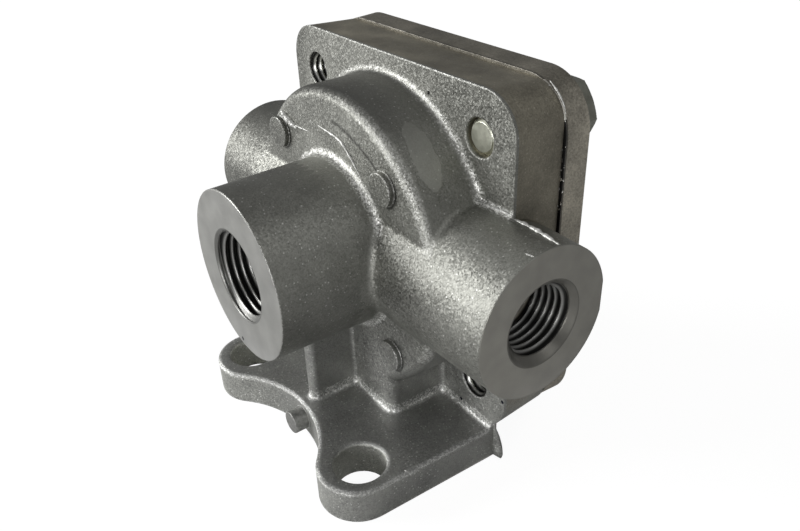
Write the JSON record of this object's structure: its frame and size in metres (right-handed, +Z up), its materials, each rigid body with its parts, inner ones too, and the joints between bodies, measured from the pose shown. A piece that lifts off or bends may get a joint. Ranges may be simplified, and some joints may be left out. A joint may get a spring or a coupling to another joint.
{
  "type": "quick exhaust valve",
  "caption": "Die-cast pneumatic quick exhaust valve: front supply port, delivery ports at the sides, rear exhaust cover with a rubber flap and a foot with bolt holes.",
  "frame": {"origin": "on the underside of the foot, midway between its two bolt holes", "axes": "+Z up, away from the foot; the supply port faces -Y, the exhaust cover +Y, the delivery ports +X and -X"},
  "size_m": [0.0836, 0.0538, 0.0714],
  "materials": {
    "cast_body": "shot-blasted die casting",
    "cast_cover": "die casting",
    "black_rubber": "matt",
    "spring_steel": "bright",
    "zinc_steel": "bright zinc plate"
  },
  "bodies": {
    "housing": {"body": "cast_body", "cover": "cast_cover", "cover_o_ring": "black_rubber", "diaphragm_spring": "spring_steel", "exhaust_flap": "black_rubber", "flap_washer": "zinc_steel", "flap_screw": "zinc_steel", "cover_screw_1": "zinc_steel", "cover_screw_2": "zinc_steel", "cover_screw_3": "zinc_steel", "cover_screw_4": "zinc_steel"},
    "shuttle": {"diaphragm": "black_rubber", "spring_seat": "spring_steel"}
  },
  "joints": [
    {"name": "diaphragm_slide", "type": "slide", "parent": "housing", "child": "shuttle", "axis": [0, 1, 0], "range_m": [0, 0.0018], "stiffness_N_per_m": 600, "springref_m": -0.004, "deforming": ["diaphragm_spring"]}
  ]
}
